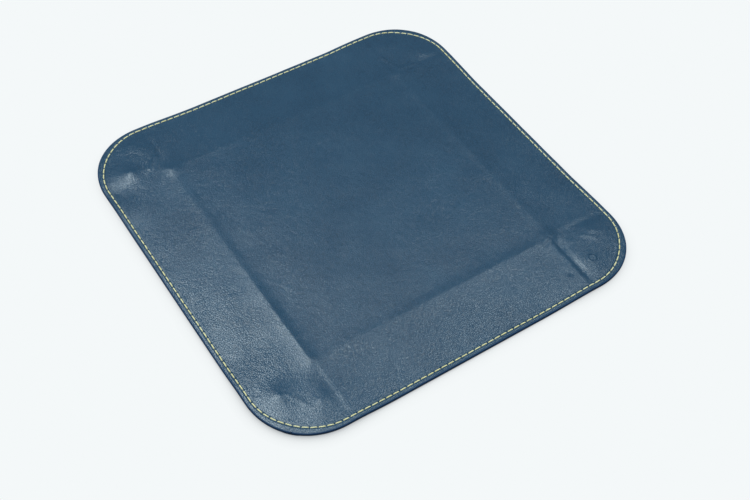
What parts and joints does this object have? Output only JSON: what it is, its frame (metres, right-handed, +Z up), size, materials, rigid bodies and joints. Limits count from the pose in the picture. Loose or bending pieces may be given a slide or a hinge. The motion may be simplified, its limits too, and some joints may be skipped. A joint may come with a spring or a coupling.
{
  "type": "folding dice tray",
  "caption": "Square leather and velvet sheet with rounded corners whose edge walls fold up and snap at pinched corners into an open rolling tray for dice.",
  "frame": {"origin": "on the table under the centre of the flat sheet, level with the lowest faces of the snap sockets", "axes": "+Z up out of the leather face, the sheet lying velvet side down; +X right and +Y back, along the straight sides. The walls fold down, towards -Z, round the velvet face; turned over, the folded sheet is the standing tray."},
  "size_m": [0.254, 0.254, 0.0055],
  "materials": {
    "leather": "satin navy coated leather with a fine pebble grain",
    "velvet": "short-pile navy velvet",
    "board": "plain grey paperboard",
    "thread": "pale yellow polyester thread",
    "snap_metal": "bright nickel plate"
  },
  "bodies": {
    "base": {"leather_base": "leather", "velvet_base": "velvet", "board_base": "board"},
    "wall_back": {"leather_wall_back": "leather", "velvet_wall_back": "velvet", "board_wall_back": "board", "thread_wall_back": "thread"},
    "wall_left": {"leather_wall_left": "leather", "velvet_wall_left": "velvet", "board_wall_left": "board", "thread_wall_left": "thread"},
    "wall_front": {"leather_wall_front": "leather", "velvet_wall_front": "velvet", "board_wall_front": "board", "thread_wall_front": "thread"},
    "wall_right": {"leather_wall_right": "leather", "velvet_wall_right": "velvet", "board_wall_right": "board", "thread_wall_right": "thread"},
    "corner_br_back": {"leather_corner_br_back": "leather", "velvet_corner_br_back": "velvet", "thread_corner_br_back": "thread", "socket_br": "snap_metal", "socket_post_br": "snap_metal"},
    "corner_br_right": {"leather_corner_br_right": "leather", "velvet_corner_br_right": "velvet", "thread_corner_br_right": "thread", "stud_br": "snap_metal", "stud_post_br": "snap_metal"},
    "corner_bl_left": {"leather_corner_bl_left": "leather", "velvet_corner_bl_left": "velvet", "thread_corner_bl_left": "thread", "socket_bl": "snap_metal", "socket_post_bl": "snap_metal"},
    "corner_bl_back": {"leather_corner_bl_back": "leather", "velvet_corner_bl_back": "velvet", "thread_corner_bl_back": "thread", "stud_bl": "snap_metal", "stud_post_bl": "snap_metal"},
    "corner_fl_front": {"leather_corner_fl_front": "leather", "velvet_corner_fl_front": "velvet", "thread_corner_fl_front": "thread", "socket_fl": "snap_metal", "socket_post_fl": "snap_metal"},
    "corner_fl_left": {"leather_corner_fl_left": "leather", "velvet_corner_fl_left": "velvet", "thread_corner_fl_left": "thread", "stud_fl": "snap_metal", "stud_post_fl": "snap_metal"},
    "corner_fr_right": {"leather_corner_fr_right": "leather", "velvet_corner_fr_right": "velvet", "thread_corner_fr_right": "thread", "socket_fr": "snap_metal", "socket_post_fr": "snap_metal"},
    "corner_fr_front": {"leather_corner_fr_front": "leather", "velvet_corner_fr_front": "velvet", "thread_corner_fr_front": "thread", "stud_fr": "snap_metal", "stud_post_fr": "snap_metal"}
  },
  "joints": [
    {"name": "front_wall_fold", "type": "hinge", "parent": "base", "child": "wall_front", "pos_m": [0, -0.084, 0.0012], "axis": [1, 0, 0], "range_deg": [0, 90]},
    {"name": "right_wall_fold", "type": "hinge", "parent": "base", "child": "wall_right", "pos_m": [0.084, 0, 0.0012], "axis": [0, 1, 0], "range_deg": [0, 90]},
    {"name": "back_wall_fold", "type": "hinge", "parent": "base", "child": "wall_back", "pos_m": [0, 0.084, 0.0012], "axis": [-1, 0, 0], "range_deg": [0, 90]},
    {"name": "left_wall_fold", "type": "hinge", "parent": "base", "child": "wall_left", "pos_m": [-0.084, 0, 0.0012], "axis": [0, -1, 0], "range_deg": [0, 90]},
    {"name": "corner_br_back_fold", "type": "hinge", "parent": "wall_back", "child": "corner_br_back", "pos_m": [0.084, 0.1055, 0.0012], "axis": [0, -1, 0], "range_deg": [0, 45]},
    {"name": "corner_br_right_fold", "type": "hinge", "parent": "wall_right", "child": "corner_br_right", "pos_m": [0.1055, 0.084, 0.0012], "axis": [1, 0, 0], "range_deg": [0, 45]},
    {"name": "corner_bl_left_fold", "type": "hinge", "parent": "wall_left", "child": "corner_bl_left", "pos_m": [-0.1055, 0.084, 0.0012], "axis": [1, 0, 0], "range_deg": [0, 45]},
    {"name": "corner_bl_back_fold", "type": "hinge", "parent": "wall_back", "child": "corner_bl_back", "pos_m": [-0.084, 0.1055, 0.0012], "axis": [0, 1, 0], "range_deg": [0, 45]},
    {"name": "corner_fl_front_fold", "type": "hinge", "parent": "wall_front", "child": "corner_fl_front", "pos_m": [-0.084, -0.1055, 0.0012], "axis": [0, 1, 0], "range_deg": [0, 45]},
    {"name": "corner_fl_left_fold", "type": "hinge", "parent": "wall_left", "child": "corner_fl_left", "pos_m": [-0.1055, -0.084, 0.0012], "axis": [-1, 0, 0], "range_deg": [0, 45]},
    {"name": "corner_fr_right_fold", "type": "hinge", "parent": "wall_right", "child": "corner_fr_right", "pos_m": [0.1055, -0.084, 0.0012], "axis": [-1, 0, 0], "range_deg": [0, 45]},
    {"name": "corner_fr_front_fold", "type": "hinge", "parent": "wall_front", "child": "corner_fr_front", "pos_m": [0.084, -0.1055, 0.0012], "axis": [0, -1, 0], "range_deg": [0, 45]}
  ],
  "couplings": [
    {"joint": "right_wall_fold", "follows": "front_wall_fold", "ratio": 1},
    {"joint": "back_wall_fold", "follows": "front_wall_fold", "ratio": 1},
    {"joint": "left_wall_fold", "follows": "front_wall_fold", "ratio": 1},
    {"joint": "corner_br_back_fold", "follows": "front_wall_fold", "ratio": 0.5},
    {"joint": "corner_br_right_fold", "follows": "front_wall_fold", "ratio": 0.5},
    {"joint": "corner_bl_left_fold", "follows": "front_wall_fold", "ratio": 0.5},
    {"joint": "corner_bl_back_fold", "follows": "front_wall_fold", "ratio": 0.5},
    {"joint": "corner_fl_front_fold", "follows": "front_wall_fold", "ratio": 0.5},
    {"joint": "corner_fl_left_fold", "follows": "front_wall_fold", "ratio": 0.5},
    {"joint": "corner_fr_right_fold", "follows": "front_wall_fold", "ratio": 0.5},
    {"joint": "corner_fr_front_fold", "follows": "front_wall_fold", "ratio": 0.5}
  ]
}
